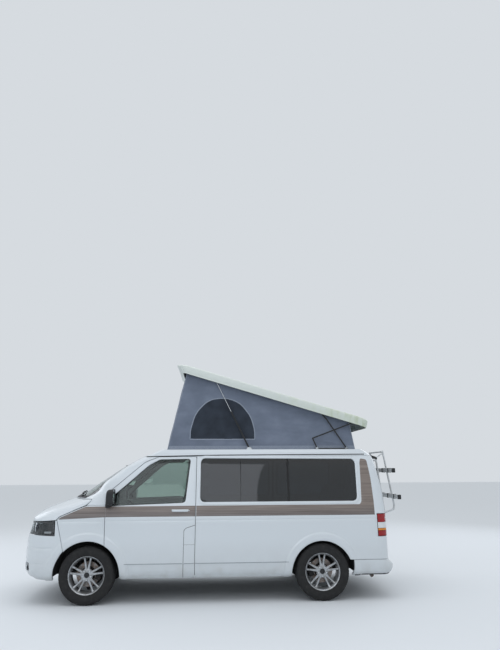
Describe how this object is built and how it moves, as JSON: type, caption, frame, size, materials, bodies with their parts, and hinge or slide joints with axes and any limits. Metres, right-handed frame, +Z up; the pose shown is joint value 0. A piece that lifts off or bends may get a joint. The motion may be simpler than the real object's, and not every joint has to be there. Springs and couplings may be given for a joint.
{
  "type": "camper van",
  "caption": "Camper van with opening doors, bonnet and tailgate, steered wheels, folded bicycle carrier and a pop-top roof raised high at the front.",
  "frame": {"origin": "middle of the bounding box, on the ground", "axes": "+X forward, +Y to the left of the van, +Z up"},
  "size_m": [5.0918, 2.282, 3.0898],
  "materials": {
    "body_white": "gloss",
    "panel_white": "satin",
    "window_glass": "clear",
    "dark_glass": "tinted",
    "lamp_lens": "clear",
    "canvas_grey": "woven",
    "tyre_rubber": "matte",
    "wheel_alloy": "satin",
    "linkage_black": "satin",
    "bright_steel": "brushed",
    "floor_grey": "satin",
    "iron": "rough",
    "exhaust_steel": "dull",
    "dark_plastic": "matte",
    "cloth_grey": "woven",
    "cabinet_board": "laminate",
    "carrier_white": "powder coated"
  },
  "bodies": {
    "body": {"floor_pan": "floor_grey", "wheel_houses": "floor_grey", "side_left": "body_white", "side_right": "body_white", "sliding_door": "body_white", "side_glass": "dark_glass", "fixed_roof": "body_white", "cab_frame": "body_white", "windscreen": "window_glass", "front_wings": "body_white", "front_bumper": "body_white", "rear_bumper": "body_white", "lamps": "lamp_lens", "dashboard": "dark_plastic", "seats": "cloth_grey", "kitchen_unit": "cabinet_board", "engine_block": "iron", "front_axle": "iron", "rear_axle": "iron", "exhaust": "exhaust_steel", "fuel_tank": "dark_plastic", "canvas": "canvas_grey"},
    "door_left": {"door_left": "body_white", "door_left_glass": "window_glass"},
    "door_right": {"door_right": "body_white", "door_right_glass": "window_glass"},
    "bonnet": {"bonnet": "body_white"},
    "tailgate": {"tailgate": "body_white", "tailgate_glass": "dark_glass", "bike_carrier": "carrier_white"},
    "knuckle_left": {"knuckle_left": "iron"},
    "knuckle_right": {"knuckle_right": "iron"},
    "steering_wheel": {"steering_wheel": "dark_plastic"},
    "roof_arms": {"roof_arms": "linkage_black"},
    "roof_links": {"roof_links": "linkage_black"},
    "roof_panel": {"roof_panel": "panel_white"},
    "roof_bars": {"roof_bars": "linkage_black"},
    "roof_cranks": {"roof_cranks": "linkage_black"},
    "strut_tubes": {"strut_tubes": "linkage_black"},
    "strut_rods": {"strut_rods": "bright_steel"},
    "wheel_front_left": {"tyre_front_left": "tyre_rubber", "rim_front_left": "wheel_alloy"},
    "wheel_front_right": {"tyre_front_right": "tyre_rubber", "rim_front_right": "wheel_alloy"},
    "wheel_rear_left": {"tyre_rear_left": "tyre_rubber", "rim_rear_left": "wheel_alloy"},
    "wheel_rear_right": {"tyre_rear_right": "tyre_rubber", "rim_rear_right": "wheel_alloy"}
  },
  "joints": [
    {"name": "door_left_swing", "type": "hinge", "parent": "body", "child": "door_left", "pos_m": [1.466, 0.955, 0.8], "axis": [0, 0, -1], "range_deg": [0, 70]},
    {"name": "door_right_swing", "type": "hinge", "parent": "body", "child": "door_right", "pos_m": [1.466, -0.955, 0.8], "axis": [0, 0, 1], "range_deg": [0, 70]},
    {"name": "bonnet_lift", "type": "hinge", "parent": "body", "child": "bonnet", "pos_m": [1.64, 0, 1.275], "axis": [0, -1, 0], "range_deg": [0, 50]},
    {"name": "tailgate_lift", "type": "hinge", "parent": "body", "child": "tailgate", "pos_m": [-2.154, 0, 1.802], "axis": [0, 1, 0], "range_deg": [0, 84]},
    {"name": "steer_left", "type": "hinge", "parent": "body", "child": "knuckle_left", "pos_m": [1.652, 0.764, 0.345], "axis": [0, 0, 1], "range_deg": [-35, 35]},
    {"name": "steer_right", "type": "hinge", "parent": "body", "child": "knuckle_right", "pos_m": [1.652, -0.764, 0.345], "axis": [0, 0, 1], "range_deg": [-35.5, 35.5]},
    {"name": "steering_wheel_turn", "type": "hinge", "parent": "body", "child": "steering_wheel", "pos_m": [1.13, 0.4, 1.09], "axis": [-0.6428, 0, 0.766], "range_deg": [-526, 526]},
    {"name": "wheel_spin_front_left", "type": "hinge", "parent": "knuckle_left", "child": "wheel_front_left", "pos_m": [1.652, 0.814, 0.345], "axis": [0, 1, 0], "continuous": true},
    {"name": "wheel_spin_front_right", "type": "hinge", "parent": "knuckle_right", "child": "wheel_front_right", "pos_m": [1.652, -0.814, 0.345], "axis": [0, 1, 0], "continuous": true},
    {"name": "wheel_spin_rear_left", "type": "hinge", "parent": "body", "child": "wheel_rear_left", "pos_m": [-1.348, 0.814, 0.345], "axis": [0, 1, 0], "continuous": true},
    {"name": "wheel_spin_rear_right", "type": "hinge", "parent": "body", "child": "wheel_rear_right", "pos_m": [-1.348, -0.814, 0.345], "axis": [0, 1, 0], "continuous": true},
    {"name": "roof_arm_swing", "type": "hinge", "parent": "body", "child": "roof_arms", "pos_m": [-1.773, 0, 1.906], "axis": [0, 1, 0], "range_deg": [0, 55.23]},
    {"name": "roof_link_swing", "type": "hinge", "parent": "roof_arms", "child": "roof_links", "pos_m": [-1.504, 0, 2.31], "axis": [0, -1, 0], "range_deg": [0, 189.72], "deforming": ["canvas"]},
    {"name": "roof_panel_swing", "type": "hinge", "parent": "roof_links", "child": "roof_panel", "pos_m": [-1.44494, 0, 2.3827], "axis": [0, 1, 0], "range_deg": [0, 151.99]},
    {"name": "roof_bar_swing", "type": "hinge", "parent": "roof_panel", "child": "roof_bars", "pos_m": [-1.88312, 0, 2.25291], "axis": [0, -1, 0], "range_deg": [0, 39.97]},
    {"name": "roof_crank_swing", "type": "hinge", "parent": "body", "child": "roof_cranks", "pos_m": [-1.356, 0, 1.906], "axis": [0, 1, 0], "range_deg": [0, 53.42]},
    {"name": "strut_tube_swing", "type": "hinge", "parent": "body", "child": "strut_tubes", "pos_m": [-0.413, 0, 1.906], "axis": [0, 1, 0], "range_deg": [0, 63.51]},
    {"name": "strut_rod_slide", "type": "slide", "parent": "strut_tubes", "child": "strut_rods", "axis": [-0.4477, 0, -0.8942], "range_m": [0, 0.4403]}
  ],
  "couplings": [
    {"joint": "steer_right", "follows": "steer_left", "ratio": 1},
    {"joint": "steering_wheel_turn", "follows": "steer_left", "ratio": 15},
    {"joint": "roof_panel_swing", "follows": "roof_link_swing", "ratio": 0.79848},
    {"joint": "roof_arm_swing", "follows": "roof_link_swing", "ratio": 0.28848},
    {"joint": "roof_bar_swing", "follows": "roof_link_swing", "ratio": 0.20806},
    {"joint": "roof_crank_swing", "follows": "roof_link_swing", "ratio": 0.27891},
    {"joint": "strut_tube_swing", "follows": "roof_link_swing", "ratio": 0.33212},
    {"joint": "strut_rod_slide", "follows": "roof_link_swing", "m_per_rad": 0.13268}
  ]
}
